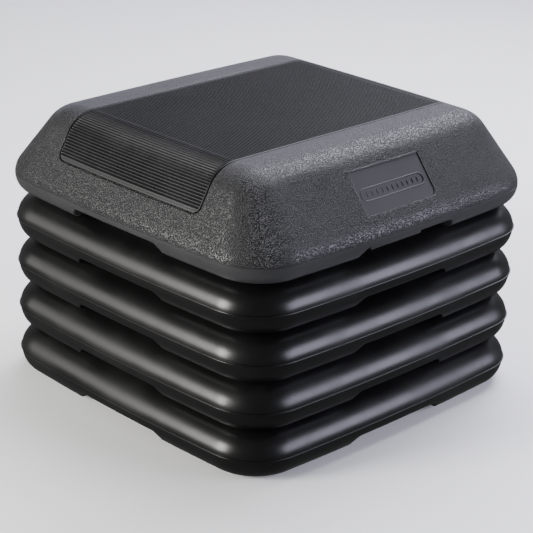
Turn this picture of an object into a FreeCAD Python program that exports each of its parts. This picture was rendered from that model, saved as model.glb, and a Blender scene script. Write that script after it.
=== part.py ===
import FreeCAD, Part
import math
import os

from FreeCAD import Vector

# A square aerobic step: one grey hollow platform with a ribbed rubber mat,
# on four identical hollow risers that nest into each other.
# +X right, +Y back, +Z up. The origin is on the floor under the middle of the stack.

os.makedirs("parts", exist_ok=True)

# ---- driving dimensions, millimetres ------------------------------------------------
RISER_COUNT = 4
RISER_PITCH = 50.8              # height that one riser adds
STEP_HEIGHT = 98.6              # platform alone, floor to tread
NEST_GAP = 0.3                  # air between one body and the next

RISER_HALF = (209.8, 206.2)     # X and Y, middle of a side, over the parting ridge
PLATFORM_HALF = (210.0, 206.4)  # X and Y, middle of a side, at the parting line
SIDE_BOW = 6.8                  # how far the middle of a side bulges past its ends
CORNER = 58.4                   # plan corner radius, ridge and parting line
TREAD_CORNER = 4.0              # plan corner radius of the flat top
TREAD_BOW = 0.4                 # the flat top's sides are almost straight
TREAD_DRAW = 10.1               # so the middle of a side leans in this much further

RIDGE_PROUD = 1.2               # parting ridge of a riser
RIDGE_THICK = 1.2
RISER_PARTING = 23.5            # riser's widest level above its underside
RISER_LOW_RUN = 18.0            # how far its side curls in below that level
CROWN_RUN = 46.0                # half axes of the ellipse it follows above that level
CROWN_RISE = 30.0
RISER_WALL = 2.4
PLATFORM_WALL = 3.0

PARTING_HEIGHT = 20.5           # platform's widest level above its underside
RIM_INSET = 20.0                # how far the rim curls in below that level
SHOULDER_ROUND = 27.7           # side turns from upright to sloping
SLOPES = (math.radians(63.9), math.radians(54.5))   # X and Y sides, from the horizontal
TREAD_ROUND = 33.0              # sloping side turns into the flat top

RISER_NOTCH = (73.0, 54.0, 13.0)        # finger notch: half mouth, half roof, height
PLATFORM_NOTCH = (75.0, 57.0, 15.0)
NOTCH_DEPTH = 29.0              # inwards from the middle of the side
LIP_X = (-56.0, 16.0)           # trimmed moulding lip in the mouth of the front notch
LIP_DROP = 3.5
LIP_THICK = 3.0
LIP_INSET = 2.0                 # from the middle of the side to the lip's face

PLINTH_HALF = 100.0             # raised square on a riser that locates the unit above
PLINTH_HEIGHT = 4.6
PLINTH_CORNER = 30.0
RECESS_PLAY = 2.0
RECESS_DEPTH = 5.5
CONE_PITCH = 62.0               # moulded cones that tie underside and top together
CONE_BASE = 18.0
CONE_TIP = 8.0
CONE_WEB = 4.0                  # fused walls above a cone's tip

FOOT_OFFSET = 159.0             # foot centre from the middle, both ways
FOOT_RADIUS = 11.0
FOOT_PROUD = 2.0
FOOT_SEAT = 2.5
STEM_RADIUS = 5.0
STEM_LENGTH = 7.0
FOOT_PLAY = 0.2
POCKET_RADIUS = 12.0            # shallow pocket in a riser's top that takes a foot

MAT_HALF = 107.0                # along Y
MAT_CORNER = 9.0
MAT_THICK = 2.2
MAT_LOW = 53.0                  # lower edge on the slopes, above the underside
MAT_GROOVE = 1.0                # shadow gap round the mat

PLATE_X = (-54.0, 47.0)         # smooth label panel on the front slope
PLATE_Z = (41.5, 79.0)          # above the underside
PLATE_DEPTH = 0.8

RISER_BODY = RISER_PITCH - NEST_GAP
PLATFORM_BODY = STEP_HEIGHT - FOOT_PROUD
PLATFORM_BASE = FOOT_PROUD + RISER_COUNT * RISER_PITCH
CORNERS = (
    ("front_left", -1, -1),
    ("front_right", 1, -1),
    ("back_right", 1, 1),
    ("back_left", -1, 1),
)


# ---- outlines and solids -------------------------------------------------------------
def bowed_rectangle(half, bow, corner, z, inset=0.0):
    """Outline of four gently bowed sides, one radius for all, and tangent corner arcs."""
    half_x, half_y = half
    side = (half_x + half_y - 2 * bow) ** 2 / (8 * bow)
    reach_x = side - half_x
    reach_y = side - half_y
    # Corner centre: as far from both side arcs' centres as internal tangency asks.
    tilt = reach_x / reach_y
    shift = (reach_x**2 - reach_y**2) / (2 * reach_y) + reach_y
    a = 1 + tilt**2
    b = tilt * shift
    c = shift**2 - (side - corner) ** 2
    middle_x = (math.sqrt(b**2 - a * c) - b) / a
    middle_y = tilt * middle_x + shift - reach_y
    lean_x = math.atan2(middle_y, middle_x + reach_x)
    lean_y = math.atan2(middle_x, middle_y + reach_y)
    side -= inset
    corner -= inset
    turn = (lean_x + math.pi / 2 - lean_y) / 2
    quadrant = [
        (side * math.cos(lean_x * share) - reach_x, side * math.sin(lean_x * share))
        for share in (0, 0.5, 1)
    ]
    quadrant.append((middle_x + corner * math.cos(turn), middle_y + corner * math.sin(turn)))
    quadrant += [
        (side * math.sin(lean_y * share), side * math.cos(lean_y * share) - reach_y)
        for share in (1, 0.5, 0)
    ]
    edges = []
    for sx, sy in ((1, 1), (-1, 1), (-1, -1), (1, -1)):
        points = [Vector(sx * x, sy * y, z) for x, y in quadrant]
        if sx != sy:
            points.reverse()
        edges += [Part.Arc(*points[i : i + 3]).toShape() for i in (0, 2, 4)]
    return Part.Wire(edges)


def slab(wire, height):
    return Part.Face(wire).extrude(Vector(0, 0, height))


def riser_inset(height):
    """How far a riser's side stands in at this height above the underside."""
    if height <= RISER_PARTING:
        return RISER_LOW_RUN * (1 - math.sqrt(1 - (1 - height / RISER_PARTING) ** 2))
    rise = (height - RISER_PARTING) / CROWN_RISE
    return CROWN_RUN * (1 - math.sqrt(1 - rise**2))


def cushion(base, depth=0.0):
    """A riser's rounded body, moved inwards by depth on every side."""
    steps = 6
    quarter = [math.pi / 2 * i / steps for i in range(steps + 1)]
    heights = [RISER_PARTING * (1 - math.cos(angle)) for angle in quarter]
    heights += [
        RISER_PARTING + (RISER_BODY - RISER_PARTING) * math.sin(angle) for angle in quarter[1:]
    ]
    squeeze = (RISER_BODY - 2 * depth) / RISER_BODY
    wires = []
    for height in heights:
        inset = RIDGE_PROUD + riser_inset(height) + depth
        z = base + depth + height * squeeze
        wires.append(bowed_rectangle(RISER_HALF, SIDE_BOW, CORNER, z, inset))
    return Part.makeLoft(wires, True, True)


def rounded_block(half_x, half_y, radius, z, height):
    block = Part.makeBox(2 * half_x, 2 * half_y, height, Vector(-half_x, -half_y, z))
    upright = [e for e in block.Edges if e.BoundBox.ZLength > height / 2]
    return block.makeFillet(radius, upright)


def s_curve(start, end):
    """Two equal arcs that leave and arrive level, in the XZ plane."""
    middle = (start + end) * 0.5
    run = abs(end.x - start.x)
    rise = abs(end.z - start.z)
    radius = (run**2 + rise**2) / (4 * rise)
    half_turn = math.atan2(rise, run)
    along = math.copysign(radius * math.sin(half_turn), end.x - start.x)
    up = math.copysign(radius * (1 - math.cos(half_turn)), end.z - start.z)
    first = Vector(start.x + along, 0, start.z + up)
    last = Vector(end.x - along, 0, end.z - up)
    return [
        Part.Arc(start, first, middle).toShape(),
        Part.Arc(middle, last, end).toShape(),
    ]


def notch_cutter(notch, reach, z, angle, grow=0.0):
    """Finger notch under the middle of a side that is reach away from the middle."""
    mouth, roof, height = [size + grow for size in notch]
    below = 5.0
    low_left = Vector(-mouth, 0, z)
    low_right = Vector(mouth, 0, z)
    high_left = Vector(-roof, 0, z + height)
    high_right = Vector(roof, 0, z + height)
    deep_left = Vector(-mouth, 0, z - below)
    deep_right = Vector(mouth, 0, z - below)
    edges = s_curve(low_left, high_left)
    edges.append(Part.LineSegment(high_left, high_right).toShape())
    edges += s_curve(high_right, low_right)
    edges.append(Part.LineSegment(low_right, deep_right).toShape())
    edges.append(Part.LineSegment(deep_right, deep_left).toShape())
    edges.append(Part.LineSegment(deep_left, low_left).toShape())
    beyond = 10.0
    cutter = Part.Face(Part.Wire(edges)).extrude(Vector(0, NOTCH_DEPTH + beyond + grow, 0))
    cutter.translate(Vector(0, -reach - beyond, 0))
    cutter.rotate(Vector(0, 0, 0), Vector(0, 0, 1), angle)
    return cutter


def cone_centres():
    places = (-CONE_PITCH, 0.0, CONE_PITCH)
    return [(x, y) for x in places for y in places]


def cones(z_low, z_high, grow=0.0):
    return [
        Part.makeCone(CONE_BASE + grow, CONE_TIP + grow, z_high - z_low, Vector(x, y, z_low))
        for x, y in cone_centres()
    ]


def foot_socket(x, y, base, grow=0.0):
    """Seat and blind stem hole for one foot, opening downwards."""
    below = 4.0
    seat = Part.makeCylinder(
        FOOT_RADIUS + FOOT_PLAY + grow,
        FOOT_SEAT + below + grow,
        Vector(x, y, base - below),
    )
    stem = Part.makeCylinder(
        STEM_RADIUS + FOOT_PLAY + grow,
        FOOT_SEAT + STEM_LENGTH + FOOT_PLAY + grow,
        Vector(x, y, base),
    )
    return seat.fuse(stem)


def foot_places():
    return [(FOOT_OFFSET * sx, FOOT_OFFSET * sy) for _, sx, sy in CORNERS]


def underside_cutters(half, notch, base, roof, wall=0.0):
    """Everything that is moulded up into a unit from below, or the same plus its wall."""
    below = 4.0
    recess = PLINTH_HALF + RECESS_PLAY + wall
    cutters = [
        rounded_block(
            recess,
            recess,
            PLINTH_CORNER + RECESS_PLAY + wall,
            base - below,
            below + RECESS_DEPTH + wall,
        )
    ]
    # An inner wall runs on into the roof, where the two skins are fused.
    tip = roof - CONE_WEB + (CONE_WEB if wall else 0.0)
    cutters += cones(base + RECESS_DEPTH - 1.0, tip, wall)
    for angle in (0, 90, 180, 270):
        reach = half[0] if angle % 180 else half[1]
        cutters.append(notch_cutter(notch, reach, base, angle, wall))
    cutters += [foot_socket(x, y, base, wall) for x, y in foot_places()]
    return cutters


# ---- riser ---------------------------------------------------------------------------
def riser_shell(base):
    wall = RISER_WALL
    top = base + RISER_BODY
    crown = top + PLINTH_HEIGHT
    body = cushion(base)
    ridge_low = base + RISER_PARTING - RIDGE_THICK / 2
    ridge = slab(bowed_rectangle(RISER_HALF, SIDE_BOW, CORNER, ridge_low), RIDGE_THICK)
    plinth = rounded_block(
        PLINTH_HALF, PLINTH_HALF, PLINTH_CORNER, top - 5.0, PLINTH_HEIGHT + 5.0
    )
    outer = body.fuse([ridge, plinth])
    outer = outer.cut(underside_cutters(RISER_HALF, RISER_NOTCH, base, crown))
    pocket = FOOT_PROUD - NEST_GAP
    pockets = [
        Part.makeCylinder(POCKET_RADIUS, pocket + 5.0, Vector(x, y, top - pocket))
        for x, y in foot_places()
    ]
    outer = outer.cut(pockets)

    hollow = cushion(base, wall)
    attic = rounded_block(
        PLINTH_HALF - wall,
        PLINTH_HALF - wall,
        PLINTH_CORNER - wall,
        top - wall - 5.0,
        PLINTH_HEIGHT + 5.0,
    )
    hollow = hollow.fuse(attic)
    hollow = hollow.cut(underside_cutters(RISER_HALF, RISER_NOTCH, base, crown, wall))
    pocket_walls = [
        Part.makeCylinder(
            POCKET_RADIUS + wall, pocket + 5.0, Vector(x, y, top - pocket - wall)
        )
        for x, y in foot_places()
    ]
    hollow = hollow.cut(pocket_walls)
    return outer.cut(hollow)


# ---- platform ------------------------------------------------------------------------
def side_inset(height, slope):
    """How far a platform side stands in at this height above the underside."""
    if height <= PARTING_HEIGHT:
        return RIM_INSET * (1 - math.sqrt(1 - (1 - height / PARTING_HEIGHT) ** 2))
    shoulder = PARTING_HEIGHT + SHOULDER_ROUND * math.cos(slope)
    if height <= shoulder:
        rise = height - PARTING_HEIGHT
        return SHOULDER_ROUND - math.sqrt(SHOULDER_ROUND**2 - rise**2)
    inset = SHOULDER_ROUND * (1 - math.sin(slope))
    crest = PLATFORM_BODY - TREAD_ROUND * (1 - math.cos(slope))
    if height <= crest:
        return inset + (height - shoulder) / math.tan(slope)
    inset += (crest - shoulder) / math.tan(slope)
    rise = height - PLATFORM_BODY + TREAD_ROUND
    return inset + TREAD_ROUND * math.sin(slope) - math.sqrt(TREAD_ROUND**2 - rise**2)


def section_heights():
    """Levels where the platform's side is sectioned, closer together where it curves."""
    steps = 6
    quarter = [math.pi / 2 * i / steps for i in range(steps + 1)]
    heights = [PARTING_HEIGHT * (1 - math.cos(angle)) for angle in quarter]
    lean = math.pi / 2 - min(SLOPES)
    for i in range(1, steps):
        angle = lean * i / (steps - 1)
        heights.append(PARTING_HEIGHT + SHOULDER_ROUND * math.sin(angle))
    for i in range(steps + 1):
        angle = max(SLOPES) * (1 - i / steps)
        heights.append(PLATFORM_BODY - TREAD_ROUND * (1 - math.cos(angle)))
    return heights


def platform_skin(depth=0.0):
    """Solid inside the platform's outer surface, moved inwards by depth on every side."""
    squeeze = (PLATFORM_BODY - 2 * depth) / PLATFORM_BODY
    last = side_inset(PLATFORM_BODY, SLOPES[0])
    wires = []
    for height in section_heights():
        insets = [side_inset(height, slope) for slope in SLOPES]
        if height < PARTING_HEIGHT:
            share = 0.0
            corner = CORNER - insets[0]
        else:
            share = insets[0] / last
            corner = CORNER + (TREAD_CORNER - CORNER) * share
        bow = SIDE_BOW + (TREAD_BOW - SIDE_BOW) * share
        draw = depth + TREAD_DRAW * share
        half = [h - inset - draw for h, inset in zip(PLATFORM_HALF, insets)]
        z = PLATFORM_BASE + depth + height * squeeze
        wires.append(bowed_rectangle(half, bow, corner - depth / 2, z))
    return Part.makeLoft(wires, True, True)


def mat_band(grow=0.0):
    """Block across the platform that holds the mat, its lower corners rounded."""
    half_y = MAT_HALF + grow
    low = PLATFORM_BASE + MAT_LOW - grow
    high = PLATFORM_BASE + PLATFORM_BODY + 20.0
    reach = PLATFORM_HALF[0] + 20.0
    block = Part.makeBox(2 * reach, 2 * half_y, high - low, Vector(-reach, -half_y, low))
    lower = [
        e
        for e in block.Edges
        if e.BoundBox.XLength > reach and e.BoundBox.ZMax < low + 1.0
    ]
    return block.makeFillet(MAT_CORNER + grow, lower)


def plate_cutter():
    """Shallow panel on the front slope, as the skin's outer layer inside a window."""
    width = PLATE_X[1] - PLATE_X[0]
    height = PLATE_Z[1] - PLATE_Z[0]
    corner = Vector(PLATE_X[0], -PLATFORM_HALF[1] - 10.0, PLATFORM_BASE + PLATE_Z[0])
    window = Part.makeBox(width, 120.0, height, corner)
    return window.cut(platform_skin(PLATE_DEPTH))


def grip_lip():
    """Trimmed moulding lip that hangs from the roof of the front notch."""
    roof = PLATFORM_BASE + PLATFORM_NOTCH[2]
    return Part.makeBox(
        LIP_X[1] - LIP_X[0],
        LIP_THICK,
        LIP_DROP + 1.0,
        Vector(LIP_X[0], LIP_INSET - PLATFORM_HALF[1], roof - LIP_DROP),
    )


def platform_shell():
    wall = PLATFORM_WALL
    roof = PLATFORM_BASE + PLATFORM_BODY
    outer = platform_skin()
    trough = mat_band(MAT_GROOVE).cut(platform_skin(MAT_THICK))
    outer = outer.cut([trough, plate_cutter()])
    under = (PLATFORM_HALF, PLATFORM_NOTCH, PLATFORM_BASE, roof - MAT_THICK)
    outer = outer.cut(underside_cutters(*under))
    outer = outer.fuse(grip_lip())
    hollow = platform_skin(wall + MAT_THICK)
    hollow = hollow.cut(underside_cutters(*under, wall))
    return outer.cut(hollow)


def grip_mat():
    return mat_band().common(platform_skin()).cut(platform_skin(MAT_THICK))


# ---- feet ----------------------------------------------------------------------------
def foot(x, y, base):
    """Push-in rubber foot: a domed disc on a stem with a retaining bead."""
    bottom = base - FOOT_PROUD
    thick = FOOT_PROUD + FOOT_SEAT
    disc = Part.makeCylinder(FOOT_RADIUS, thick, Vector(x, y, bottom))
    rim = [e for e in disc.Edges if e.BoundBox.ZMax < bottom + 0.1 and len(e.Vertexes) == 1]
    disc = disc.makeFillet(1.2, [e for e in rim if e.BoundBox.XLength > FOOT_RADIUS])
    stem = Part.makeCylinder(STEM_RADIUS, STEM_LENGTH, Vector(x, y, base + FOOT_SEAT))
    tip = stem.Faces[1].OuterWire.Edges + stem.Faces[2].OuterWire.Edges
    top = [e for e in tip if e.BoundBox.ZMin > base + FOOT_SEAT + STEM_LENGTH - 0.1]
    stem = stem.makeChamfer(1.0, top[:1])
    return disc.fuse(stem)


# ---- write one file per node ---------------------------------------------------------
def save(name, shape):
    shape = shape.removeSplitter()
    print(name, shape.isValid(), len(shape.Solids), round(shape.Volume / 1000, 1))
    shape.exportStep(os.path.join("parts", name + ".step"))


def save_feet(unit, base):
    for corner, sx, sy in CORNERS:
        save(f"{unit}_foot_{corner}", foot(sx * FOOT_OFFSET, sy * FOOT_OFFSET, base))


def main():
    first = riser_shell(FOOT_PROUD)
    for level in range(RISER_COUNT):
        lift = level * RISER_PITCH
        shell = first.copy()
        shell.translate(Vector(0, 0, lift))
        save(f"riser_{level + 1}_shell", shell)
        save_feet(f"riser_{level + 1}", FOOT_PROUD + lift)
    save("platform_shell", platform_shell())
    save("grip_mat", grip_mat())
    save_feet("platform", PLATFORM_BASE)


main()
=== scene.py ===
import math

import bpy
import numpy as np
from mathutils import Matrix, Vector


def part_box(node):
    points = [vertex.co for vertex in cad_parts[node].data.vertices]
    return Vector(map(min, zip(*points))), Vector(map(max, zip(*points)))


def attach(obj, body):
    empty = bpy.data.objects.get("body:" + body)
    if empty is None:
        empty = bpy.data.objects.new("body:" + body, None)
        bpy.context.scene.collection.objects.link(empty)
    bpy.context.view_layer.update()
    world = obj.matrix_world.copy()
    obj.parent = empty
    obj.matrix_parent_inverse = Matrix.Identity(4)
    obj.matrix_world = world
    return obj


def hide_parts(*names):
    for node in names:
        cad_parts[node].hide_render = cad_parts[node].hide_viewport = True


# The looks of a square aerobic step: a grey pebble-textured platform with a ribbed rubber
# mat on four black risers. Shapes are worked out in millimetres and scaled to metres when
# a mesh is made. +X right, +Y back, +Z up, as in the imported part.

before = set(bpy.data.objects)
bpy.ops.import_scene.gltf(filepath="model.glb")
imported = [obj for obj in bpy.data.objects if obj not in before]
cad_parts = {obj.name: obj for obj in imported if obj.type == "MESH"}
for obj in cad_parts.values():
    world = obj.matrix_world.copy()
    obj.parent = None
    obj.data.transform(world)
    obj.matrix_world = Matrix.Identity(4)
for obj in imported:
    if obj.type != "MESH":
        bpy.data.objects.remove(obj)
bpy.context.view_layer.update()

MM = 0.001
RISER_COUNT = 4
CORNERS = ("front_left", "front_right", "back_right", "back_left")

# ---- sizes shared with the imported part, millimetres ----------------------------------
SIDE_BOW = 6.8
CORNER = 58.4
TREAD_CORNER = 4.0
TREAD_BOW = 0.4
TREAD_DRAW = 10.1

RIDGE_PROUD = 1.2
RIDGE_THICK = 1.2
RISER_PARTING = 23.5
RISER_LOW_RUN = 18.0
CROWN_RUN = 46.0
CROWN_RISE = 30.0
RISER_BODY = 50.5

PARTING_HEIGHT = 20.5
RIM_INSET = 20.0
SHOULDER_ROUND = 27.7
SLOPES = (math.radians(63.9), math.radians(54.5))
TREAD_ROUND = 33.0

RISER_NOTCH = (73.0, 54.0, 13.0)
PLATFORM_NOTCH = (75.0, 57.0, 15.0)
NOTCH_DEPTH = 29.0

PLINTH_HALF = 100.0
PLINTH_HEIGHT = 4.6
PLINTH_CORNER = 30.0
RECESS_PLAY = 2.0
RECESS_DEPTH = 5.5
CONE_PITCH = 62.0
CONE_BASE = 18.0
CONE_TIP = 8.0
CONE_WEB = 4.0

POCKET_RADIUS = 12.0
POCKET_DEPTH = 1.7
FOOT_SEAT = 2.5
FOOT_PLAY = 0.3

MAT_HALF = 107.0
MAT_CORNER = 9.0
MAT_THICK = 2.2
MAT_LOW = 53.0
MAT_GROOVE = 1.0

PLATE_X = (-54.0, 47.0)
PLATE_Z = (41.5, 79.0)

# ---- detail that only the looks have, millimetres ------------------------------------
NOTCH_SOFT = 0.8                # half the run over which a notch's inner end fades out
RIB_PITCH = 3.1
RIB_HEIGHT = 1.2
MAT_BORDER = 3.2
MAT_EDGE = ((0.0, 0.8), (0.25, 0.35), (0.8, 0.0))       # place from the edge, depth

# ---- colours of the lights -------------------------------------------------------------
WARM = (1.0, 0.99, 0.96)
COOL = (0.93, 0.93, 1.0)
VIOLET = (0.82, 0.82, 1.0)


def mm_box(node):
    """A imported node's lowest and highest corner in millimetres."""
    low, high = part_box(node)
    return np.array(low) / MM, np.array(high) / MM


# ---- outlines: every ring has the same number of points -------------------------------
STRAIGHT_NEAR = np.linspace(0.0, 100.0, 41)
STRAIGHT_FAR = np.linspace(0.0, 1.0, 15)[1:]
TURN = np.linspace(0.0, 1.0, 25)[1:-1]


def tangent_arcs(half, bow, corner):
    """The side arcs' radius, how far back their centres are, and the corner's centre."""
    half_x, half_y = half
    side = (half_x + half_y - 2 * bow) ** 2 / (8 * bow)
    reach_x = side - half_x
    reach_y = side - half_y
    tilt = reach_x / reach_y
    shift = (reach_x**2 - reach_y**2) / (2 * reach_y) + reach_y
    a = 1 + tilt**2
    b = tilt * shift
    c = shift**2 - (side - corner) ** 2
    middle_x = (math.sqrt(b**2 - a * c) - b) / a
    middle_y = tilt * middle_x + shift - reach_y
    return side, reach_x, reach_y, middle_x, middle_y


def four_quadrants(quadrant):
    """Mirror a quadrant's points, +X axis to +Y axis, into a closed ring."""
    second = (quadrant * (-1, 1))[::-1][1:]
    third = (quadrant * (-1, -1))[1:]
    fourth = (quadrant * (1, -1))[::-1][1:-1]
    return np.vstack((quadrant, second, third, fourth))


def bowed_ring(half, bow, corner, inset=0.0):
    side, reach_x, reach_y, middle_x, middle_y = tangent_arcs(half, bow, corner)
    lean_x = math.atan2(middle_y, middle_x + reach_x)
    lean_y = math.atan2(middle_x, middle_y + reach_y)
    side -= inset
    corner -= inset
    near = STRAIGHT_NEAR[-1]

    def along(lean):
        end = side * math.sin(lean)
        return np.concatenate((STRAIGHT_NEAR, near + STRAIGHT_FAR * (end - near)))

    t = along(lean_x)
    east = np.column_stack((np.sqrt(side**2 - t**2) - reach_x, t))
    turn = lean_x + TURN * (math.pi / 2 - lean_y - lean_x)
    bend = np.column_stack(
        (middle_x + corner * np.cos(turn), middle_y + corner * np.sin(turn))
    )
    t = along(lean_y)[::-1]
    north = np.column_stack((t, np.sqrt(side**2 - t**2) - reach_y))
    return four_quadrants(np.vstack((east, bend, north)))


def square_ring(half, corner):
    count = len(STRAIGHT_NEAR) + len(STRAIGHT_FAR)
    t = np.linspace(0.0, half - corner, count)
    turn = TURN * math.pi / 2
    east = np.column_stack((np.full(count, half), t))
    bend = half - corner + corner * np.column_stack((np.cos(turn), np.sin(turn)))
    north = east[::-1, ::-1]
    return four_quadrants(np.vstack((east, bend, north)))


def at_height(ring, z):
    return np.column_stack((ring, np.full(len(ring), z)))


def quarter(steps):
    """Angles from 0 to 90 degrees."""
    return np.linspace(0.0, math.pi / 2, steps + 1)


# ---- meshes ----------------------------------------------------------------------------
def loft(rows, capped=True):
    """Vertices and quads through closed rows of equal length, with flat end caps."""
    count = len(rows[0])
    here = np.arange(count)
    ahead = np.roll(here, -1)
    faces = []
    for row in range(len(rows) - 1):
        low = row * count
        quads = np.column_stack(
            (low + here, low + ahead, low + count + ahead, low + count + here)
        )
        faces += quads.tolist()
    if capped:
        faces.append(list(range(count))[::-1])
        faces.append(list(range((len(rows) - 1) * count, len(rows) * count)))
    return np.vstack(rows), faces


def lathe(profile, centre, steps=48):
    """Closed solid of revolution from (radius, z) pairs, lowest first."""
    turn = np.linspace(0.0, 2 * math.pi, steps, endpoint=False)
    circle = np.column_stack((np.cos(turn), np.sin(turn)))
    rows = [at_height(circle * radius + centre, z) for radius, z in profile]
    return loft(rows)


def mesh_object(name, parts):
    """One object from (vertices in millimetres, faces) parts."""
    vertices = []
    faces = []
    for points, polygons in parts:
        start = len(vertices)
        vertices += (np.asarray(points) * MM).tolist()
        faces += [[start + i for i in polygon] for polygon in polygons]
    mesh = bpy.data.meshes.new(name)
    mesh.from_pydata(vertices, [], faces)
    mesh.update()
    piece = bpy.data.objects.new(name, mesh)
    bpy.context.scene.collection.objects.link(piece)
    return piece


def apply_modifiers(piece):
    graph = bpy.context.evaluated_depsgraph_get()
    graph.update()
    mesh = bpy.data.meshes.new_from_object(piece.evaluated_get(graph))
    old = piece.data
    piece.modifiers.clear()
    piece.data = mesh
    bpy.data.meshes.remove(old)


def combine(piece, parts, operation):
    """Cut the parts out of the piece, or fuse them to it."""
    tool = mesh_object("tool", parts)
    boolean = piece.modifiers.new("combine", "BOOLEAN")
    boolean.operation = operation
    boolean.solver = "MANIFOLD"
    boolean.object = tool
    apply_modifiers(piece)
    bpy.data.objects.remove(tool)


def smooth(piece, angle):
    for polygon in piece.data.polygons:
        polygon.use_smooth = True
    piece.data.set_sharp_from_angle(angle=math.radians(angle))


def finish_piece(piece, body, slot, material, *nodes):
    piece.data.materials.clear()
    piece.data.materials.append(material)
    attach(piece, body)
    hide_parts(*nodes)


# ---- features moulded into every unit's underside ----------------------------------------
def notch_roof(t, notch):
    """Height of a finger notch at distance t from the middle of the side."""
    mouth, roof, height = notch
    run = mouth - roof
    radius = (run**2 + height**2) / (4 * height)
    u = np.clip(mouth - np.abs(t), 0.0, run)
    low = radius - np.sqrt(radius**2 - u**2)
    high = height - radius + np.sqrt(radius**2 - (run - u) ** 2)
    return np.where(u < run / 2, low, high)


def raise_notches(row, half, notch, edge):
    """Lift a row's points over the four finger notches, with soft edges."""
    x, y, z = row.T
    for across, along, reach in ((x, y, half[0]), (y, x, half[1])):
        depth = reach - np.abs(across)
        fade = np.clip((NOTCH_DEPTH + NOTCH_SOFT - depth) / (2 * NOTCH_SOFT), 0.0, 1.0)
        roof = notch_roof(along, notch) * fade * fade * (3 - 2 * fade)
        blend = np.maximum(1e-6, np.minimum(edge, 0.35 * roof))
        share = np.clip(0.5 + 0.5 * (z - roof) / blend, 0.0, 1.0)
        z = roof + (z - roof) * share + blend * share * (1 - share)
    return np.column_stack((x, y, z))


def recess_rows():
    """The square recess that takes the unit below, from its roof out to the underside."""
    half = PLINTH_HALF + RECESS_PLAY
    corner = PLINTH_CORNER + RECESS_PLAY
    roof_edge = 1.5
    mouth_edge = 1.2
    rows = [at_height(square_ring(half - 6.0, corner - 6.0), RECESS_DEPTH)]
    for angle in quarter(3):
        step = roof_edge * (1 - math.sin(angle))
        z = RECESS_DEPTH - roof_edge * (1 - math.cos(angle))
        rows.append(at_height(square_ring(half - step, corner - step), z))
    for angle in quarter(3):
        step = mouth_edge * (1 - math.cos(angle))
        z = mouth_edge * (1 - math.sin(angle))
        rows.append(at_height(square_ring(half + step, corner + step), z))
    return rows


def underside_insets(reach):
    """Insets of the flat underside's rings, from the recess out to where the side begins."""
    inner = reach + 16.0
    return np.concatenate(([inner], np.arange(inner - 5.0, reach - 0.1, -0.5)))


def flared_hole(radius, mouth_z, end_z, tip=None, flare=0.8, centre=(0.0, 0.0)):
    """Cutter for a round hole from mouth_z to end_z whose mouth has a soft edge."""
    tip = radius if tip is None else tip
    way = math.copysign(1.0, end_z - mouth_z)
    profile = [(radius + flare, mouth_z - way * 2.0), (radius + flare, mouth_z)]
    for angle in quarter(4)[1:]:
        profile.append(
            (radius + flare * (1 - math.sin(angle)), mouth_z + way * flare * (1 - math.cos(angle)))
        )
    corner = min(1.5, abs(end_z - mouth_z) / 3, tip / 2)
    for angle in quarter(3):
        profile.append(
            (tip - corner * (1 - math.cos(angle)), end_z - way * corner * (1 - math.sin(angle)))
        )
    if way < 0:
        profile.reverse()
    return lathe(profile, np.array(centre))


def cone_cutters(roof):
    places = (-CONE_PITCH, 0.0, CONE_PITCH)
    return [
        flared_hole(CONE_BASE, RECESS_DEPTH, roof - CONE_WEB, CONE_TIP, 1.5, (x, y))
        for x in places
        for y in places
    ]


def foot_centres(unit):
    """Middle of each foot of a unit, in plan."""
    centres = {}
    for corner in CORNERS:
        low, high = mm_box(f"{unit}_foot_{corner}")
        centres[corner] = ((low + high) / 2)[:2]
    return centres


def underside_cutters(unit, roof):
    cutters = cone_cutters(roof)
    low, high = mm_box(f"{unit}_foot_front_left")
    radius = (high - low)[0] / 2 + FOOT_PLAY
    for centre in foot_centres(unit).values():
        cutters.append(flared_hole(radius, 0.0, FOOT_SEAT, centre=tuple(centre)))
    return cutters


# ---- riser -----------------------------------------------------------------------------
# How far the ridge stands out, and how far off its middle in shares of half its thickness.
RIDGE_SHAPE = ((0.0, -1.0), (0.1, -1.0), (0.8, -0.85), (1.1, -0.5), (1.2, 0.0))


def riser_inset(height):
    """How far a riser's side stands in at this height above the underside."""
    if height <= RISER_PARTING:
        return RISER_LOW_RUN * (1 - math.sqrt(1 - (1 - height / RISER_PARTING) ** 2))
    rise = (height - RISER_PARTING) / CROWN_RISE
    return CROWN_RUN * (1 - math.sqrt(1 - rise**2))


def riser_rows(half):
    """Rings of a riser from its underside recess, round its side, to its raised square."""

    def outline(inset, z):
        return at_height(bowed_ring(half, SIDE_BOW, CORNER, inset), z)

    reach = RIDGE_PROUD + RISER_LOW_RUN
    rows = recess_rows()
    rows += [outline(inset, 0.0) for inset in underside_insets(reach)]
    edge = RIDGE_THICK / 2
    for angle in quarter(22)[1:]:
        z = (RISER_PARTING - edge) * (1 - math.cos(angle))
        rows.append(outline(RIDGE_PROUD + riser_inset(z), z))
    for proud, offset in RIDGE_SHAPE:
        rows.append(outline(RIDGE_PROUD - proud, RISER_PARTING + offset * edge))
    for proud, offset in RIDGE_SHAPE[-2::-1]:
        rows.append(outline(RIDGE_PROUD - proud, RISER_PARTING - offset * edge))
    start = RISER_PARTING + edge
    for angle in quarter(26)[1:]:
        z = start + (RISER_BODY - start) * math.sin(angle)
        rows.append(outline(RIDGE_PROUD + riser_inset(z), z))
    rows.append(outline(RIDGE_PROUD + riser_inset(RISER_BODY) + 2.0, RISER_BODY))
    rows = [raise_notches(row, half, RISER_NOTCH, 2.0) for row in rows]
    return rows + plinth_rows(RISER_BODY)


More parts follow.
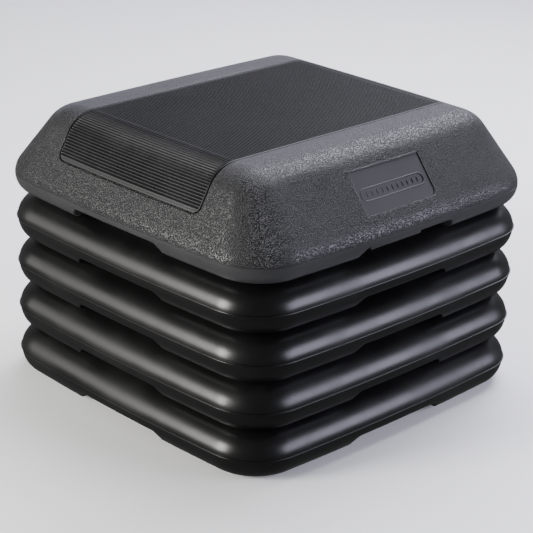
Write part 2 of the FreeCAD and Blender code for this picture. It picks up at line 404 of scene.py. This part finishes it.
def plinth_rows(z):
    foot_edge = 1.0
    top_edge = 1.8
    rows = []
    for angle in quarter(3):
        step = foot_edge * (1 - math.sin(angle))
        ring = square_ring(PLINTH_HALF + step, PLINTH_CORNER + step)
        rows.append(at_height(ring, z + foot_edge * (1 - math.cos(angle))))
    for angle in quarter(4):
        step = top_edge * (1 - math.cos(angle))
        ring = square_ring(PLINTH_HALF - step, PLINTH_CORNER - step)
        rows.append(at_height(ring, z + PLINTH_HEIGHT - top_edge * (1 - math.sin(angle))))
    step = top_edge + 5.0
    rows.append(at_height(square_ring(PLINTH_HALF - step, PLINTH_CORNER - step), z + PLINTH_HEIGHT))
    return rows


def riser_mesh():
    """A riser standing on z = 0, as an object that is copied for each riser."""
    low, high = mm_box("riser_1_shell")
    half = tuple(((high - low) / 2)[:2])
    piece = mesh_object("riser_master", [loft(riser_rows(half))])
    cutters = underside_cutters("riser_1", RISER_BODY + PLINTH_HEIGHT)
    for centre in foot_centres("riser_1").values():
        cutters.append(
            flared_hole(POCKET_RADIUS, RISER_BODY, RISER_BODY - POCKET_DEPTH, centre=tuple(centre))
        )
    combine(piece, cutters, "DIFFERENCE")
    smooth(piece, 35)
    return piece


def build_risers(material):
    master = riser_mesh()
    for number in range(1, RISER_COUNT + 1):
        node = f"riser_{number}_shell"
        piece = bpy.data.objects.new(f"riser_{number}_moulding", master.data.copy())
        bpy.context.scene.collection.objects.link(piece)
        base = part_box(node)[0].z
        piece.data.transform(Matrix.Translation((0, 0, base)))
        finish_piece(piece, f"riser_{number}", "riser_plastic", material, node)
    bpy.data.objects.remove(master)


# ---- feet --------------------------------------------------------------------------------
def build_feet(unit, body, material):
    for corner in CORNERS:
        node = f"{unit}_foot_{corner}"
        low, high = mm_box(node)
        radius = (high - low)[0] / 2
        bottom = low[2]
        disc_top = bottom + 2.0 + FOOT_SEAT
        edge = 1.2
        profile = [(radius * 0.35, bottom + 0.7), (radius * 0.42, bottom + 0.5)]
        profile += [(radius * 0.5, bottom + 0.1), (radius * 0.56, bottom)]
        profile.append((radius - edge - 0.8, bottom))
        for angle in quarter(5):
            profile.append(
                (radius - edge + edge * math.sin(angle), bottom + edge * (1 - math.cos(angle)))
            )
        profile += [(radius, disc_top - 0.3), (radius - 0.3, disc_top)]
        profile += [(5.0, disc_top + 0.01), (5.0, high[2] - 1.0), (4.0, high[2])]
        piece = mesh_object(f"{node}_pad", [lathe(profile, ((low + high) / 2)[:2])])
        smooth(piece, 40)
        finish_piece(piece, body, "foot_rubber", material, node)


# ---- platform ----------------------------------------------------------------------------
low_corner, high_corner = mm_box("platform_shell")
PLATFORM_HALF = tuple(((high_corner - low_corner) / 2)[:2])
PLATFORM_BASE = low_corner[2]
PLATFORM_BODY = (high_corner - low_corner)[2]


def side_inset(height, slope):
    """How far a platform side stands in at this height above the underside."""
    if height <= PARTING_HEIGHT:
        return RIM_INSET * (1 - math.sqrt(1 - (1 - height / PARTING_HEIGHT) ** 2))
    shoulder = PARTING_HEIGHT + SHOULDER_ROUND * math.cos(slope)
    if height <= shoulder:
        rise = height - PARTING_HEIGHT
        return SHOULDER_ROUND - math.sqrt(SHOULDER_ROUND**2 - rise**2)
    inset = SHOULDER_ROUND * (1 - math.sin(slope))
    crest = PLATFORM_BODY - TREAD_ROUND * (1 - math.cos(slope))
    if height <= crest:
        return inset + (height - shoulder) / math.tan(slope)
    inset += (crest - shoulder) / math.tan(slope)
    rise = min(height, PLATFORM_BODY) - PLATFORM_BODY + TREAD_ROUND
    return inset + TREAD_ROUND * math.sin(slope) - math.sqrt(TREAD_ROUND**2 - rise**2)


def level_shape(height):
    """Half sizes, bow and corner radius of the platform's outline at a height."""
    insets = [side_inset(height, slope) for slope in SLOPES]
    share = insets[0] / side_inset(PLATFORM_BODY, SLOPES[0])
    if height < PARTING_HEIGHT:
        share = 0.0
    half = [h - inset - TREAD_DRAW * share for h, inset in zip(PLATFORM_HALF, insets)]
    bow = SIDE_BOW + (TREAD_BOW - SIDE_BOW) * share
    corner = CORNER + (TREAD_CORNER - CORNER) * share
    return half, bow, corner


PARTING_GROOVE = ((0.5, 0.0), (0.9, 0.55), (1.5, 0.55), (1.9, 0.0))      # height above, depth


def groove_depth(height):
    """Depth of the fine groove that runs along the top of the smooth rim."""
    return float(np.interp(height - PARTING_HEIGHT, *zip(*PARTING_GROOVE)))


CREST_START = 66.0              # rings above this height are spaced round the crest


def section_heights():
    """Heights of the platform's rings, close together where the side curves."""
    rim = [PARTING_HEIGHT * (1 - math.cos(angle)) for angle in quarter(20)]
    groove = [PARTING_HEIGHT + above for above, _ in PARTING_GROOVE]
    slope = groove + list(np.linspace(PARTING_HEIGHT + 2.5, CREST_START, 38))
    start = math.acos(1 - (PLATFORM_BODY - CREST_START) / TREAD_ROUND)
    crest = [
        PLATFORM_BODY - TREAD_ROUND * (1 - math.cos(angle))
        for angle in np.linspace(start, 0.0, 26)[1:]
    ]
    return rim[1:] + slope + crest


def platform_rows():
    rows = recess_rows()
    for inset in underside_insets(RIM_INSET):
        rows.append(at_height(bowed_ring(PLATFORM_HALF, SIDE_BOW, CORNER, inset), 0.0))
    for height in section_heights():
        if height < PARTING_HEIGHT:
            inset = side_inset(height, SLOPES[0])
            ring = bowed_ring(PLATFORM_HALF, SIDE_BOW, CORNER, inset)
        else:
            ring = bowed_ring(*level_shape(height), groove_depth(height))
        rows.append(at_height(ring, height))
    rows = [raise_notches(row, PLATFORM_HALF, PLATFORM_NOTCH, 1.4) for row in rows]
    rows.append(at_height(rows[-1][:, :2] * 0.97, PLATFORM_BODY))
    return rows


# ---- strips that follow the platform's skin ------------------------------------------------
class Band:
    """The band across the platform that the mat lies in, from one slope over the top."""

    def __init__(self, low):
        heights = [low] + [h for h in section_heights() if h > low]
        self.x = np.array([level_shape(height)[0][0] for height in heights])
        self.z = np.array(heights)
        runs = np.hypot(np.diff(self.x), np.diff(self.z))
        self.along = np.concatenate(([0.0], np.cumsum(runs)))
        self.length = 2 * (self.along[-1] + self.x[-1])

    def section(self, place, t, lift):
        """Points at t along Y, place along the band, lift off the skin."""
        near = min(place, self.length - place)
        sign = 1.0 if place <= self.length / 2 else -1.0
        height = float(np.interp(near, self.along, self.z))
        half, bow, corner = level_shape(height)
        arc, reach, *_ = tangent_arcs(half, bow, corner)
        across = np.sqrt(arc**2 - t**2) - reach
        normal = (0.0, 1.0)
        if near < self.along[-1]:
            ends = (near - 0.5, near + 0.5)
            x = np.interp(ends, self.along, self.x)
            z = np.interp(ends, self.along, self.z)
            size = math.hypot(x[1] - x[0], z[1] - z[0])
            normal = ((z[1] - z[0]) / size, (x[0] - x[1]) / size)
        else:
            across = across * (self.length / 2 - near) / self.x[-1]
        z = np.full(len(t), height + normal[1] * lift)
        return np.column_stack((sign * (across + normal[0] * lift), t, z))

    def grid(self, places, shares, half_width, corner, lifts):
        """Rows of points; shares run from -1 to 1 over a width that narrows at the ends."""
        rows = []
        for place, lift in zip(places, lifts):
            near = min(place, self.length - place)
            width = half_width
            if near < corner:
                width -= corner - math.sqrt(corner**2 - (corner - near) ** 2)
            rows.append(self.section(place, width * shares, lift))
        return np.array(rows)


def layered_solid(layers):
    """Closed solid through grids of the same size, innermost first, one above the other."""
    rows, columns = layers[0].shape[:2]
    index = np.arange(rows * columns).reshape(rows, columns)
    loop = np.concatenate((index[0, :-1], index[:-1, -1], index[-1, :0:-1], index[:0:-1, 0]))
    count = rows * columns
    points = [layers[0].reshape(-1, 3)]
    loops = [loop]
    start = count
    for layer in layers[1:-1]:
        points.append(layer.reshape(-1, 3)[loop])
        loops.append(start + np.arange(len(loop)))
        start += len(loop)
    points.append(layers[-1].reshape(-1, 3))
    loops.append(start + loop)
    corners = (index[:-1, :-1], index[:-1, 1:], index[1:, 1:], index[1:, :-1])
    cells = np.column_stack([corner.ravel() for corner in corners])
    faces = cells[:, ::-1].tolist() + (cells + start).tolist()
    for low, high in zip(loops, loops[1:]):
        faces += np.column_stack((low, np.roll(low, -1), np.roll(high, -1), high)).tolist()
    return np.vstack(points), faces


# How much wider each layer of the trough's cutter is, and how high above the skin it lies.
TROUGH_LAYERS = (
    (0.0, -MAT_THICK - 0.05),
    (0.0, -0.5),
    (0.12, -0.15),
    (0.5, 0.03),
    (0.5, 3.0),
)


def mat_trough():
    """Cutter for the trough that the mat lies in, with a soft lip."""
    wide = MAT_HALF + MAT_GROOVE
    corner = MAT_CORNER + MAT_GROOVE
    low = MAT_LOW - MAT_GROOVE * math.sin(SLOPES[0])
    shares = np.linspace(-1.0, 1.0, 61)
    layers = []
    for grow, lift in TROUGH_LAYERS:
        band = Band(low - grow * math.sin(SLOPES[0]))
        places = np.linspace(0.0, band.length, 401)
        lifts = np.full(len(places), lift)
        layers.append(band.grid(places, shares, wide + grow, corner + grow, lifts))
    return layered_solid(layers)


# ---- mat -----------------------------------------------------------------------------------
# Share of the pitch and share of the height; the first point is the groove's bottom.
RIB_SHAPE = ((0.0, 0.0), (0.3, 0.88), (0.36, 0.98), (0.5, 1.0), (0.64, 0.98), (0.7, 0.88))


def build_mat(material):
    """Ribbed mat: ribs along Y between plain borders, on a thin closed pad."""
    band = Band(MAT_LOW)
    edge = MAT_EDGE + ((MAT_BORDER - 0.4, 0.0),)
    places = [place for place, _ in edge]
    lifts = [-depth for _, depth in edge]
    clear = band.length - 2 * MAT_BORDER
    count = round(clear / RIB_PITCH)
    pitch = clear / count
    for rib in range(count):
        for share, high in RIB_SHAPE:
            places.append(MAT_BORDER + (rib + share) * pitch)
            lifts.append(-RIB_HEIGHT * (1 - high))
    places += [band.length - place for place, _ in edge[::-1]]
    lifts += [-depth for _, depth in edge[::-1]]
    lifts = np.array(lifts)

    rim = np.array((0.0, 0.25, 0.8, 1.7, 2.1)) / MAT_HALF
    middle = np.linspace(-1 + rim[-1], 1 - rim[-1], 41)[1:-1]
    shares = np.concatenate((-1 + rim, middle, 1 - rim[::-1]))
    over = band.grid(places, shares, MAT_HALF, MAT_CORNER, np.zeros(len(lifts)))
    under = band.grid(places, shares, MAT_HALF, MAT_CORNER, np.full(len(lifts), -MAT_THICK))
    inwards = (under - over) / MAT_THICK
    for column, share in enumerate(shares):
        gap = (1 - abs(share)) * MAT_HALF
        ribbed = np.clip((gap - 1.7) / 0.4, 0.0, 1.0)
        border = np.interp(gap, *zip(*MAT_EDGE))
        depth = np.maximum(-lifts * ribbed, border)
        ends = np.array([min(p, band.length - p) < 0.7 for p in places])
        depth = np.where(ends, np.maximum(-lifts, border), depth)
        over[:, column] += inwards[:, column] * depth[:, None]
    piece = mesh_object("ribbed_mat", [layered_solid([under, over])])
    piece.data.transform(Matrix.Translation((0, 0, PLATFORM_BASE * MM)))
    smooth(piece, 50)
    finish_piece(piece, "platform", "mat_rubber", material, "grip_mat")


# ---- label panel and lip ---------------------------------------------------------------------
PANEL_ROUND = 9.0
PANEL_FLOOR = -0.6              # lift of the panel's face where the frame stands
FRAME_HALF = (44.5, 6.4)        # half length and half height of the raised frame
FRAME_AT = (-4.5, 58.7)         # its middle: x, and height above the underside
FRAME_BEAD = (0.75, 0.65)       # half width and half height of its bead
TOP_EDGE_SHAPE = ((1.6, -0.3), (0.3, 0.6), (-0.1, 0.6), (-0.3, -0.3))    # height, lift
BAR_COUNT = 11
BAR_SPREAD = 36.0               # how far the outer bars are from the middle
BAR_HALF = (0.8, 0.6)           # half width and half height of a bar
BAR_ENDS = ((2.7, 0.3), (2.4, 1.0), (-2.4, 1.0), (-2.7, 0.3))            # up, size
LIP_X = (-56.0, 16.0)
LIP_Z = (11.5, 16.0)
LIP_INSET = 2.0
LIP_THICK = 3.0
LIP_EDGE = 0.7


def front_slope():
    """Slope of the front side's middle, from the horizontal."""
    low, high = [level_shape(height)[0][1] for height in PLATE_Z]
    return math.atan2(PLATE_Z[1] - PLATE_Z[0], low - high)


FRONT_SLOPE = front_slope()


def front_point(x, height, lift):
    """Points on the front slope at x and a height, lift off the skin."""
    half, bow, corner = level_shape(height)
    arc, _, reach, *_ = tangent_arcs(half, bow, corner)
    y = reach - np.sqrt(arc**2 - np.asarray(x) ** 2)
    out = -math.sin(FRONT_SLOPE) * lift
    up = math.cos(FRONT_SLOPE) * lift
    return np.column_stack((x, y + out, height + up + np.zeros(len(x))))


# How much wider each layer of the panel's cutter is, and how deep; negative is above the skin.
PANEL_LAYERS = ((0.0, 1.0), (0.0, 0.25), (0.35, -0.02), (0.35, -3.0))


def panel_cutter():
    """Cutter for the smooth panel: flush at its left edge, deeper to the right."""
    shares = np.linspace(0.0, 1.0, 49)
    layers = []
    for grow, deep in PANEL_LAYERS:
        rows = []
        left = PLATE_X[0] - grow
        right = PLATE_X[1] + grow
        for height in np.linspace(PLATE_Z[0] - grow, PLATE_Z[1] + grow, 33):
            rise = max(0.0, height - PLATE_Z[0] + grow) / math.sin(FRONT_SLOPE)
            end = right
            if rise < PANEL_ROUND:
                end -= PANEL_ROUND - math.sqrt(PANEL_ROUND**2 - (PANEL_ROUND - rise) ** 2)
            x = left + shares * (end - left)
            lift = -deep * np.clip(0.25 + 0.75 * (x - left) / (right - left), 0, 1)
            if deep < 0:
                lift = np.full(len(x), -deep)
            rows.append(front_point(x, height, lift))
        layers.append(np.array(rows))
    return layered_solid(layers)


def frame_ring():
    """Raised stadium outline on the panel, as a closed rounded bead."""
    half_length, half_height = FRAME_HALF
    half_width, proud = FRAME_BEAD
    turn = np.linspace(0.0, 2 * math.pi, 97)[:-1]
    rows = []
    for angle in np.linspace(0.0, 2 * math.pi, 13)[:-1]:
        reach = half_height + half_width * math.cos(angle)
        lift = PANEL_FLOOR + proud * math.sin(angle)
        along = reach * np.cos(turn) + np.sign(np.cos(turn)) * (half_length - half_height)
        up = reach * np.sin(turn)
        heights = FRAME_AT[1] + up * math.sin(FRONT_SLOPE)
        points = [
            front_point(np.array((FRAME_AT[0] + x,)), h, lift)[0] for x, h in zip(along, heights)
        ]
        rows.append(np.array(points))
    return closed_tube(rows)


def panel_top_edge():
    """Low wedge that stands proud along the panel's top edge."""
    x = np.linspace(PLATE_X[0], PLATE_X[1], 41)
    lines = [front_point(x, PLATE_Z[1] + above, lift) for above, lift in TOP_EDGE_SHAPE]
    return loft(list(np.array(lines).transpose(1, 0, 2)))


def frame_bars():
    """Short upright raised bars in a row inside the stadium."""
    turn = np.linspace(0.0, 2 * math.pi, 13)[:-1]
    half_width, proud = BAR_HALF
    bars = []
    for x in np.linspace(-BAR_SPREAD, BAR_SPREAD, BAR_COUNT):
        rows = []
        for up, size in BAR_ENDS:
            height = FRAME_AT[1] + up * math.sin(FRONT_SLOPE)
            across = FRAME_AT[0] + x + half_width * size * np.cos(turn)
            lift = PANEL_FLOOR + proud * size * np.sin(turn)
            rows.append(front_point(across, height, lift))
        bars.append(loft(rows))
    return bars


def closed_tube(rows):
    """Torus-like surface: rings of equal length whose last row joins the first."""
    vertices, faces = loft(rows, capped=False)
    count = len(rows[0])
    here = np.arange(count)
    ahead = np.roll(here, -1)
    last = (len(rows) - 1) * count
    faces += np.column_stack((last + here, last + ahead, ahead, here)).tolist()
    return vertices, faces


def moulding_lip():
    """Trimmed lip under the roof of the front notch."""
    out = PLATFORM_HALF[1] - LIP_INSET
    thick = LIP_THICK
    edge = LIP_EDGE
    low, high = LIP_Z
    corners = (
        (-out + edge, low + edge, math.pi),
        (-out + thick - edge, low + edge, 1.5 * math.pi),
        (-out + thick - edge, high - edge, 0.0),
        (-out + edge, high - edge, 0.5 * math.pi),
    )
    section = []
    for y, z, start in corners:
        for angle in start + quarter(3):
            section.append((y + edge * math.cos(angle), z + edge * math.sin(angle)))
    section = np.array(section)
    middle = section.mean(axis=0)
    rows = []
    for x, size in ((LIP_X[0], 0.8), (LIP_X[0] + 0.5, 1.0), (LIP_X[1] - 0.6, 1.0), (LIP_X[1], 0.8)):
        points = middle + (section - middle) * size
        rows.append(np.column_stack((np.full(len(points), x), points)))
    return loft(rows)


def build_platform(material):
    piece = mesh_object("platform_moulding", [loft(platform_rows())])
    cutters = underside_cutters("platform", PLATFORM_BODY - MAT_THICK)
    cutters += [mat_trough(), panel_cutter()]
    combine(piece, cutters, "DIFFERENCE")
    combine(piece, [moulding_lip(), frame_ring(), panel_top_edge(), *frame_bars()], "UNION")
    piece.data.transform(Matrix.Translation((0, 0, PLATFORM_BASE * MM)))
    smooth(piece, 35)
    finish_piece(piece, "platform", "platform_plastic", material, "platform_shell")


# ---- materials -------------------------------------------------------------------------------
class Nodes:
    """Short way to build a material's node tree."""

    def __init__(self, name):
        self.material = bpy.data.materials.new(name)
        self.material.use_nodes = True
        self.tree = self.material.node_tree
        self.shader = self.tree.nodes["Principled BSDF"]
        self.place = self.add("ShaderNodeTexCoord").outputs["Object"]

    def add(self, kind, settings=None, **sockets):
        node = self.tree.nodes.new(kind)
        for key, value in (settings or {}).items():
            setattr(node, key, value)
        for key, value in sockets.items():
            self.set(node.inputs[key.replace("_", " ")], value)
        return node

    def set(self, socket, value):
        if isinstance(value, bpy.types.NodeSocket):
            self.tree.links.new(value, socket)
        else:
            socket.default_value = value

    def math(self, operation, a, b=0.0, c=0.0, clamp=False):
        node = self.add("ShaderNodeMath", {"operation": operation, "use_clamp": clamp})
        for socket, value in zip(node.inputs, (a, b, c)):
            self.set(socket, value)
        return node.outputs[0]

    def ramp(self, value, low, high, to_low=0.0, to_high=1.0, smooth=True):
        kind = "SMOOTHSTEP" if smooth else "LINEAR"
        node = self.add("ShaderNodeMapRange", {"interpolation_type": kind})
        sockets = ("Value", "From Min", "From Max", "To Min", "To Max")
        for key, given in zip(sockets, (value, low, high, to_low, to_high)):
            self.set(node.inputs[key], given)
        return node.outputs[0]

    def noise(self, scale, detail=2.0, roughness=0.5, place=None, distortion=0.0):
        node = self.add(
            "ShaderNodeTexNoise",
            Vector=place or self.place,
            Scale=scale,
            Detail=detail,
            Roughness=roughness,
            Distortion=distortion,
        )
        return node.outputs["Fac"]

    def mix(self, share, a, b):
        node = self.add("ShaderNodeMix", {"data_type": "RGBA"})
        self.set(node.inputs[0], share)
        self.set(node.inputs[6], a)
        self.set(node.inputs[7], b)
        return node.outputs[2]

    def bump(self, height, distance, strength=1.0, normal=None):
        node = self.add("ShaderNodeBump", Height=height, Distance=distance, Strength=strength)
        if normal is not None:
            self.set(node.inputs["Normal"], normal)
        return node.outputs["Normal"]

    def finish(self, **sockets):
        for key, value in sockets.items():
            self.set(self.shader.inputs[key.replace("_", " ")], value)
        return self.material


def grey(value, blue=0.0):
    """A grey with its blue raised by a share."""
    return (value, value, value * (1 + blue), 1.0)


PEBBLE_SCALE = 800.0            # cells per metre
PEBBLE_DEPTH = 0.0008
PEBBLE_WARP = (0.0006, 0.0006, 0.0006)
GRAIN_START = (21.8, 22.4)      # heights over which the grain starts above the rim


def platform_plastic():
    """Pebble-grained grey polyethylene, smooth on the rim and the label panel, with painted
    highlight on the pebble tops and painted shade between them.
    """
    n = Nodes("pebbled_grey_plastic")
    split = n.add("ShaderNodeSeparateXYZ", Vector=n.place)
    x, y, z = split.outputs
    above = n.ramp(z, *[(PLATFORM_BASE + height) * MM for height in GRAIN_START])
    bottom, top = [PLATFORM_BASE + height for height in PLATE_Z]
    inside = [
        n.ramp(x, (PLATE_X[0] - 0.5) * MM, (PLATE_X[0] + 3.0) * MM),
        n.ramp(x, PLATE_X[1] * MM, (PLATE_X[1] + 0.4) * MM, 1.0, 0.0),
        n.ramp(z, (bottom - 0.5) * MM, (bottom + 1.0) * MM),
        n.ramp(z, top * MM, (top + 0.4) * MM, 1.0, 0.0),
        n.ramp(y, -0.12, -0.1, 1.0, 0.0),
    ]
    panel = inside[0]
    for mask in inside[1:]:
        panel = n.math("MULTIPLY", panel, mask)
    grained = n.math("MULTIPLY", above, n.math("SUBTRACT", 1.0, panel))

    warp = n.add("ShaderNodeTexNoise", Vector=n.place, Scale=420.0, Detail=1.0)
    shifted = n.add("ShaderNodeVectorMath", {"operation": "MULTIPLY_ADD"})
    n.set(shifted.inputs[0], warp.outputs["Color"])
    shifted.inputs[1].default_value = PEBBLE_WARP
    n.set(shifted.inputs[2], n.place)
    cells = n.add(
        "ShaderNodeTexVoronoi",
        {"feature": "SMOOTH_F1"},
        Vector=shifted.outputs[0],
        Scale=PEBBLE_SCALE,
        Smoothness=0.2,
    )
    pebbles = n.ramp(cells.outputs["Distance"], 0.1, 0.62, 1.0, 0.0)
    swell = n.noise(170.0, 2.0)
    grain = n.math("MULTIPLY", n.math("MULTIPLY_ADD", swell, 0.5, pebbles), grained)
    normal = n.bump(grain, PEBBLE_DEPTH)
    fine = n.noise(2600.0, 3.0)
    normal = n.bump(fine, 0.00003, 0.6, normal)
    wide = n.noise(9.0, 4.0)
    tone = n.ramp(wide, 0.3, 0.7, 0.92, 1.08)
    # Painted highlight and painted shade: the colour is lighter on the raised pebble tops and
    # darker in the gaps between them. The smooth rim and panel get none.
    painted_pebble_light = n.ramp(pebbles, 0.0, 1.0, 0.45, 1.25)
    painted_grain_light = n.math("ADD", n.math("MULTIPLY", painted_pebble_light, grained), n.math("SUBTRACT", 1.0, grained))
    shade = n.math("MULTIPLY", tone, painted_grain_light)
    tint = n.math("MULTIPLY_ADD", panel, 0.04, 0.32)
    colour = n.mix(n.math("MULTIPLY", shade, tint), grey(0.0), grey(0.075, 0.05))
    rough = n.math("ADD", n.ramp(wide, 0.3, 0.7, 0.3, 0.36), n.math("MULTIPLY", grained, 0.03))
    rough = n.math("MULTIPLY_ADD", panel, 0.14, rough)
    return n.finish(
        Base_Color=colour, Roughness=rough, Normal=normal, Specular_IOR_Level=0.35
    )


def riser_plastic():
    """Black polyethylene with a satin skin, faint waviness, rub marks and scratches."""
    n = Nodes("black_blow_moulded_plastic")
    fine = n.noise(1800.0, 3.0)
    wave = n.noise(34.0, 2.0)
    smudge = n.noise(13.0, 5.0, 0.62)
    stretch = n.add("ShaderNodeMapping", Vector=n.place)
    stretch.inputs["Rotation"].default_value = (0.6, 0.35, 0.7)
    stretch.inputs["Scale"].default_value = (1.0, 26.0, 26.0)
    streaks = n.noise(34.0, 5.0, 0.7, stretch.outputs[0])
    scratch = n.ramp(streaks, 0.64, 0.72)
    patch = n.ramp(n.noise(7.0, 2.0), 0.5, 0.62)
    scratch = n.math("MULTIPLY", scratch, patch)
    normal = n.bump(wave, 0.0005, 0.35)
    normal = n.bump(fine, 0.00003, 0.5, normal)
    normal = n.bump(scratch, 0.00006, 0.6, normal)
    rough = n.math("ADD", n.ramp(smudge, 0.35, 0.68, 0.30, 0.42), n.math("MULTIPLY", scratch, 0.12))
    worn = n.math("ADD", n.ramp(smudge, 0.5, 0.8, 0.0, 0.25), n.math("MULTIPLY", scratch, 0.5))
    colour = n.mix(worn, grey(0.003), grey(0.014))
    return n.finish(
        Base_Color=colour, Roughness=rough, Normal=normal, Specular_IOR_Level=0.35
    )


def mat_rubber():
    """Matt black rubber with a trace of dust."""
    n = Nodes("ribbed_black_rubber")
    fine = n.noise(1500.0, 3.0)
    dust = n.noise(22.0, 5.0, 0.6)
    normal = n.bump(fine, 0.00005, 0.6)
    colour = n.mix(n.ramp(dust, 0.35, 0.7), grey(0.005, 0.1), grey(0.009, 0.12))
    rough = n.ramp(dust, 0.3, 0.7, 0.36, 0.44)
    return n.finish(
        Base_Color=colour, Roughness=rough, Normal=normal, Specular_IOR_Level=0.23
    )


def foot_rubber():
    """Dull black rubber, scuffed paler in places."""
    n = Nodes("black_foot_rubber")
    fine = n.noise(1200.0, 3.0)
    wear = n.noise(60.0, 4.0)
    normal = n.bump(fine, 0.00006, 0.7)
    colour = n.mix(n.ramp(wear, 0.4, 0.7), grey(0.02), grey(0.035))
    return n.finish(Base_Color=colour, Roughness=n.ramp(wear, 0.3, 0.7, 0.6, 0.75), Normal=normal)


def floor_paint():
    n = Nodes("pale_floor")
    return n.finish(Base_Color=grey(0.97), Roughness=0.9)


# ---- floor, lights and camera ------------------------------------------------------------------
def make_floor(material):
    size = 5.0
    mesh = bpy.data.meshes.new("floor")
    mesh.from_pydata(
        [(-size, -size, 0), (size, -size, 0), (size, size, 0), (-size, size, 0)], [], [(0, 1, 2, 3)]
    )
    floor = bpy.data.objects.new("floor", mesh)
    floor.data.materials.append(material)
    bpy.context.scene.collection.objects.link(floor)
    floor.visible_glossy = False        # keeps its brightness out of the undersides


def area_light(name, place, target, size, power, colour):
    light = bpy.data.lights.new(name, "AREA")
    light.shape = "RECTANGLE"
    light.size, light.size_y = size
    light.energy = power
    light.color = colour
    lamp = bpy.data.objects.new(name, light)
    bpy.context.scene.collection.objects.link(lamp)
    lamp.location = place
    lamp.visible_camera = False
    aim = Vector(target) - Vector(place)
    lamp.rotation_euler = aim.to_track_quat("-Z", "Y").to_euler()


def softbox(name, azimuth, distance, height, size, radiance, colour):
    """Soft area light at an azimuth round the stack, aimed at its middle."""
    turn = math.radians(azimuth)
    place = (distance * math.cos(turn), distance * math.sin(turn), height)
    power = radiance * math.pi * size[0] * size[1]
    area_light(name, place, (0, 0, 0.15), size, power, colour)


def make_lights():
    """Warm light on the left, violet on the right, and cool light over the top."""
    softbox("left_softbox", 136.0, 1.8, 0.5, (0.9, 0.9), 3.6, WARM)
    softbox("left_corner_softbox", 163.0, 1.8, 0.5, (0.6, 0.9), 38.0, WARM)
    softbox("right_softbox", 302.0, 1.8, 0.5, (1.4, 0.9), 10.5, VIOLET)
    softbox("back_softbox", 46.0, 1.9, 0.8, (2.4, 1.1), 1.2, (0.8, 0.8, 1.0))
    softbox("crest_softbox", 10.0, 1.35, 1.45, (1.2, 1.2), 5.5, (0.85, 0.85, 1.0))
    area_light("top_softbox", (0.8, 0.3, 1.68), (0, 0, 0.2), (1.6, 1.6), 46.0, COOL)
    world = bpy.data.worlds.new("studio")
    world.use_nodes = True
    world.node_tree.nodes["Background"].inputs["Color"].default_value = (1, 1, 1, 1)
    world.node_tree.nodes["Background"].inputs["Strength"].default_value = 0.17
    bpy.context.scene.world = world


def make_camera():
    """Camera at the picture's angle: azimuth from the front, elevation and roll."""
    azimuth = math.radians(-44.28)
    elevation = math.radians(22.23)
    roll = math.radians(1.43)
    distance = 1.9134
    target = Vector((0.00174, -0.00169, 0.12129))
    back = Vector(
        (
            math.sin(azimuth) * math.cos(elevation),
            -math.cos(azimuth) * math.cos(elevation),
            math.sin(elevation),
        )
    )
    right = (-back).cross(Vector((0, 0, 1))).normalized()
    up = right.cross(-back)
    tilted_right = math.cos(roll) * right + math.sin(roll) * up
    tilted_up = -math.sin(roll) * right + math.cos(roll) * up
    data = bpy.data.cameras.new("camera")
    data.sensor_width = 36.0
    data.lens = 119.83
    camera = bpy.data.objects.new("camera", data)
    bpy.context.scene.collection.objects.link(camera)
    turn = Matrix((tilted_right, tilted_up, back)).transposed().to_4x4()
    camera.matrix_world = Matrix.Translation(target + back * distance) @ turn
    bpy.context.scene.camera = camera


def main():
    rubber = foot_rubber()
    build_risers(riser_plastic())
    for number in range(1, RISER_COUNT + 1):
        build_feet(f"riser_{number}", f"riser_{number}", rubber)
    build_platform(platform_plastic())
    build_mat(mat_rubber())
    build_feet("platform", "platform", rubber)
    make_floor(floor_paint())
    make_lights()
    make_camera()


main()
